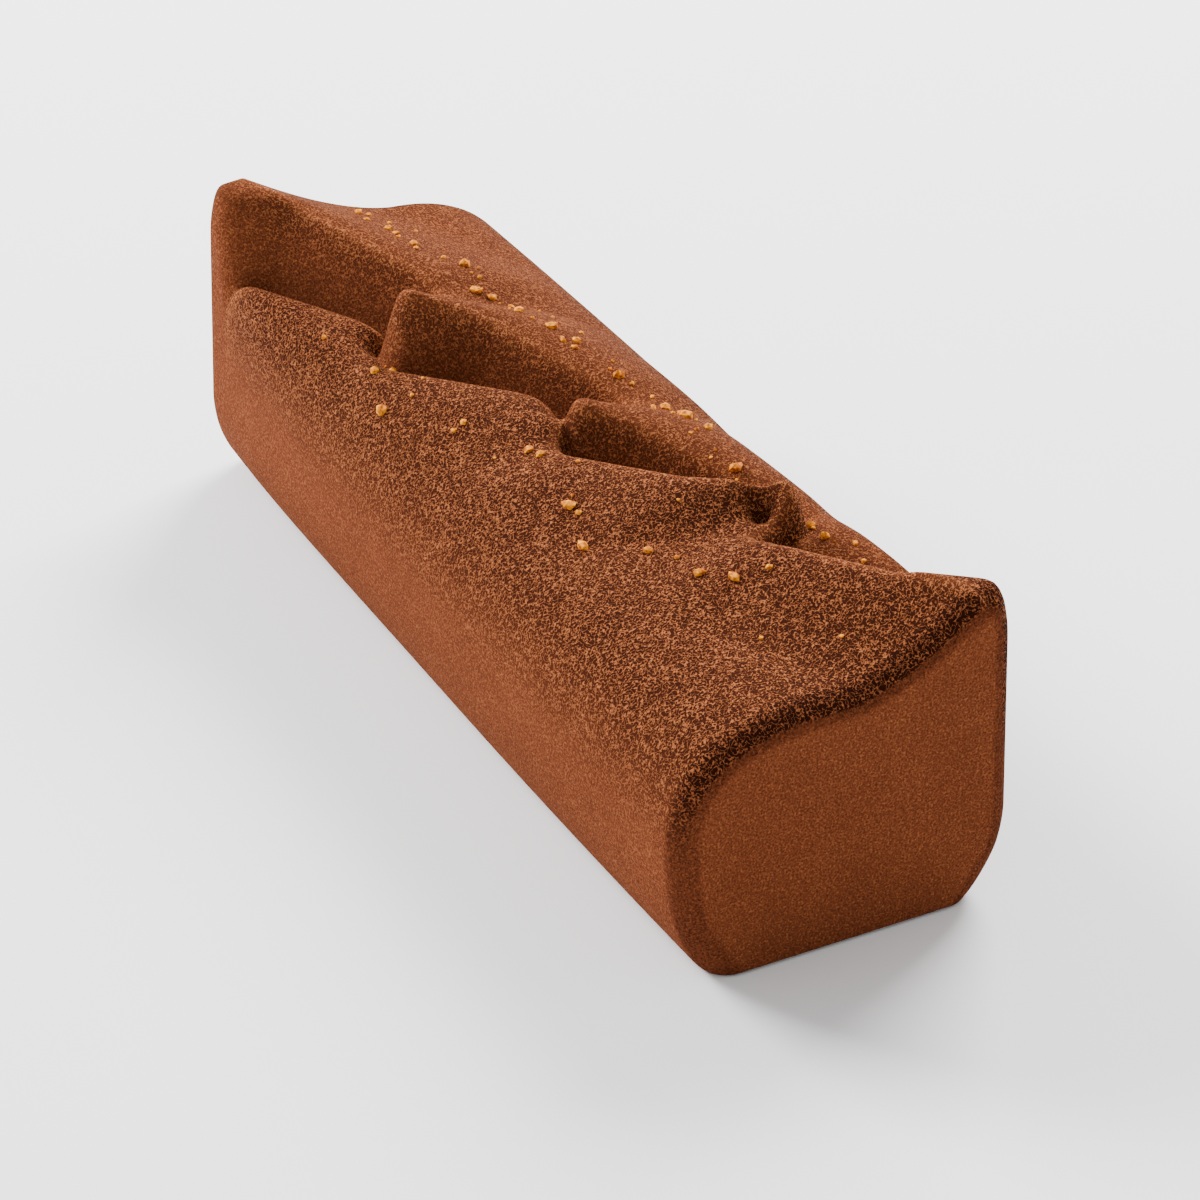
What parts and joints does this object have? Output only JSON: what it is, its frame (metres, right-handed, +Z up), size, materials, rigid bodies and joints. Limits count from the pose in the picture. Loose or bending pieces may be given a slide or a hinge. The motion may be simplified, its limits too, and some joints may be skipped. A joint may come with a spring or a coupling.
{
  "type": "yule log cake",
  "caption": "Uncut chocolate yule log cake: a long bar with round shoulders, a zigzag of folded ridges along its top, and a few praline crumbs.",
  "frame": {"origin": "centre of the bounding box at the bottom, on the surface the cake stands on", "axes": "+X along the length of the log, towards the end whose peak is on the +Y side, +Z up"},
  "size_m": [0.25, 0.087, 0.08],
  "materials": {
    "chocolate_velvet": "matte cocoa velvet coat of short grains on frozen mousse, with small golden praline crumbs stuck to the top"
  },
  "bodies": {
    "root": {"yule_log": "chocolate_velvet"}
  },
  "joints": []
}
